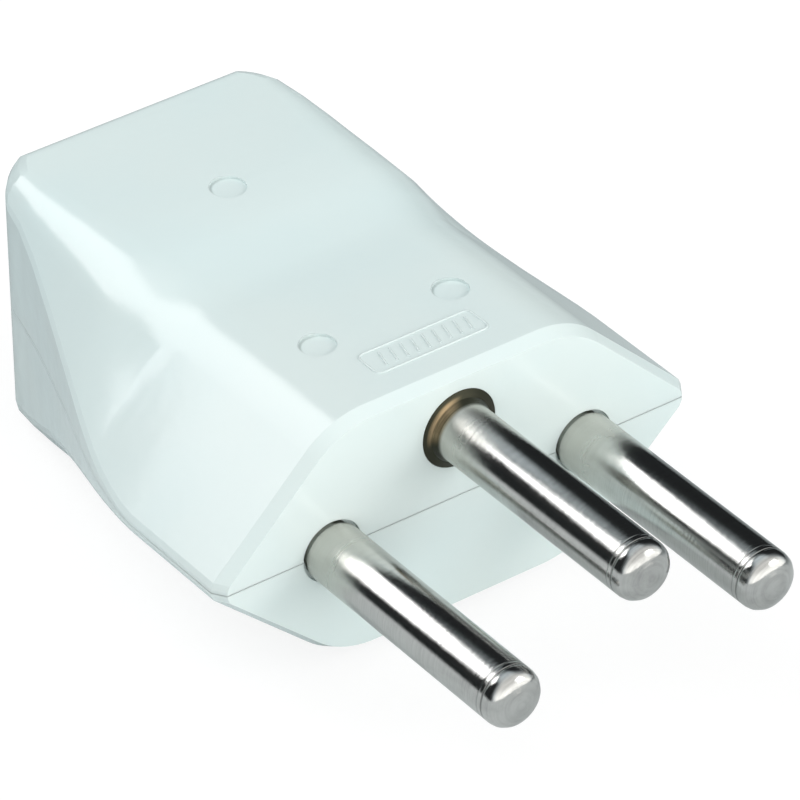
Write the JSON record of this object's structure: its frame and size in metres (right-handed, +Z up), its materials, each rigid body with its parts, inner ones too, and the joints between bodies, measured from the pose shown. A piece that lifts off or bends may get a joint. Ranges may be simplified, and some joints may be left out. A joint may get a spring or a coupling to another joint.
{
  "type": "type J three-pin mains plug",
  "caption": "Rewireable white type J mains plug with round pins, a hexagonal engagement face and a grip that narrows towards the cord inlet.",
  "frame": {"origin": "middle of the engagement face, on the parting plane, halfway between the live and neutral pins", "axes": "+Y from the engagement face back to the cord inlet, the pins point to -Y, +Z up towards the side of the earth pin"},
  "size_m": [0.0356, 0.0545, 0.0189],
  "materials": {
    "housing": "glossy, moulded",
    "pins": "nickel plated, turned",
    "screws": "zinc plated",
    "guards": "rolled spring sheet",
    "clamp": "moulded"
  },
  "bodies": {
    "root": {"housing_upper": "housing", "housing_lower": "housing", "live_pin": "pins", "neutral_pin": "pins", "earth_pin": "pins", "live_terminal_screw": "screws", "neutral_terminal_screw": "screws", "earth_terminal_screw": "screws", "live_wire_guard": "guards", "neutral_wire_guard": "guards", "earth_wire_guard": "guards", "cord_clamp": "clamp", "clamp_screw_left": "screws", "clamp_screw_right": "screws", "housing_screw_left": "screws", "housing_screw_right": "screws", "housing_screw_rear": "screws"}
  },
  "joints": []
}
